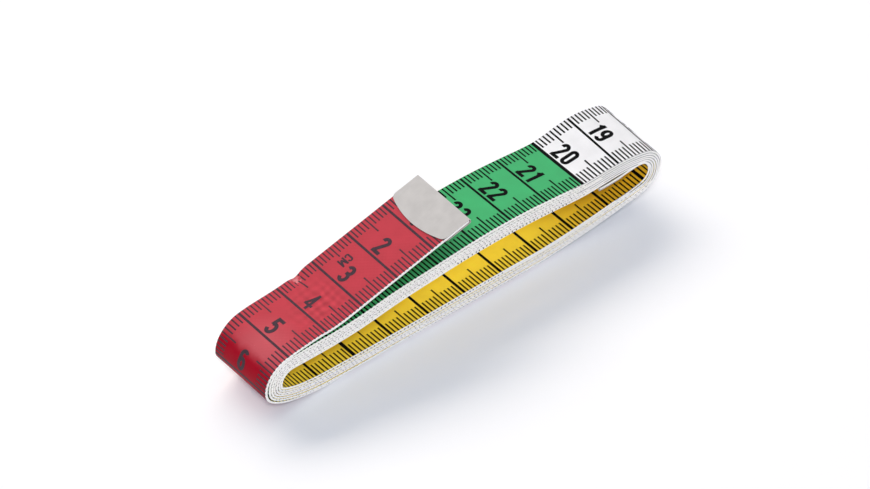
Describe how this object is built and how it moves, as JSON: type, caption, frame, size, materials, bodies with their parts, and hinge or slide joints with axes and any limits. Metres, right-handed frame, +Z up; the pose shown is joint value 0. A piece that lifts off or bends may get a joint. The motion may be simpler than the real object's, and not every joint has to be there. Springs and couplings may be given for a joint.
{
  "type": "tape measure",
  "caption": "Soft tailor's tape measure of coated cloth wound into a flat oval coil, with a pressed metal cap on each end and its printed loose end rising off the top",
  "frame": {"origin": "on the floor under the middle of the coil", "axes": "+X along the coil to the bend with the inner end, +Y across the strip to its far edge, +Z up"},
  "size_m": [0.1084, 0.0174, 0.0249],
  "materials": {
    "tape_white": "vinyl-coated cloth, satin",
    "tape_red": "vinyl-coated cloth, satin",
    "tape_green": "vinyl-coated cloth, satin",
    "cap_metal": "pressed sheet, satin"
  },
  "bodies": {
    "coil": {"tape_coil": "tape_white"},
    "free_end_1": {"tape_free_end_1": "tape_red"},
    "free_end_2": {"tape_free_end_2": "tape_red"},
    "free_end_3": {"tape_free_end_3": "tape_red"},
    "free_end_4": {"tape_free_end_4": "tape_red", "end_cap": "cap_metal"},
    "inner_end": {"tape_inner_end": "tape_green", "inner_end_cap": "cap_metal"}
  },
  "joints": [
    {"name": "free_end_lift", "type": "hinge", "parent": "coil", "child": "free_end_1", "pos_m": [-0.04595, 0, 0.01476], "axis": [0, -1, 0], "range_deg": [-2, 30], "stiffness_Nm_per_rad": 0.05, "springref_deg": 1.38},
    {"name": "free_end_curl_2", "type": "hinge", "parent": "free_end_1", "child": "free_end_2", "pos_m": [-0.03547, 0, 0.0154], "axis": [0, -1, 0], "range_deg": [-2, 30]},
    {"name": "free_end_curl_3", "type": "hinge", "parent": "free_end_2", "child": "free_end_3", "pos_m": [-0.02529, 0, 0.01795], "axis": [0, -1, 0], "range_deg": [-2, 30]},
    {"name": "free_end_curl_4", "type": "hinge", "parent": "free_end_3", "child": "free_end_4", "pos_m": [-0.0151, 0, 0.02051], "axis": [0, -1, 0], "range_deg": [-2, 30]},
    {"name": "inner_end_flex", "type": "hinge", "parent": "coil", "child": "inner_end", "pos_m": [0.04716, 0, 0.01165], "axis": [0, -1, 0], "range_deg": [0, 20], "stiffness_Nm_per_rad": 0.013}
  ],
  "couplings": [
    {"joint": "free_end_curl_2", "follows": "free_end_lift", "ratio": 1},
    {"joint": "free_end_curl_3", "follows": "free_end_lift", "ratio": 1},
    {"joint": "free_end_curl_4", "follows": "free_end_lift", "ratio": 1}
  ]
}
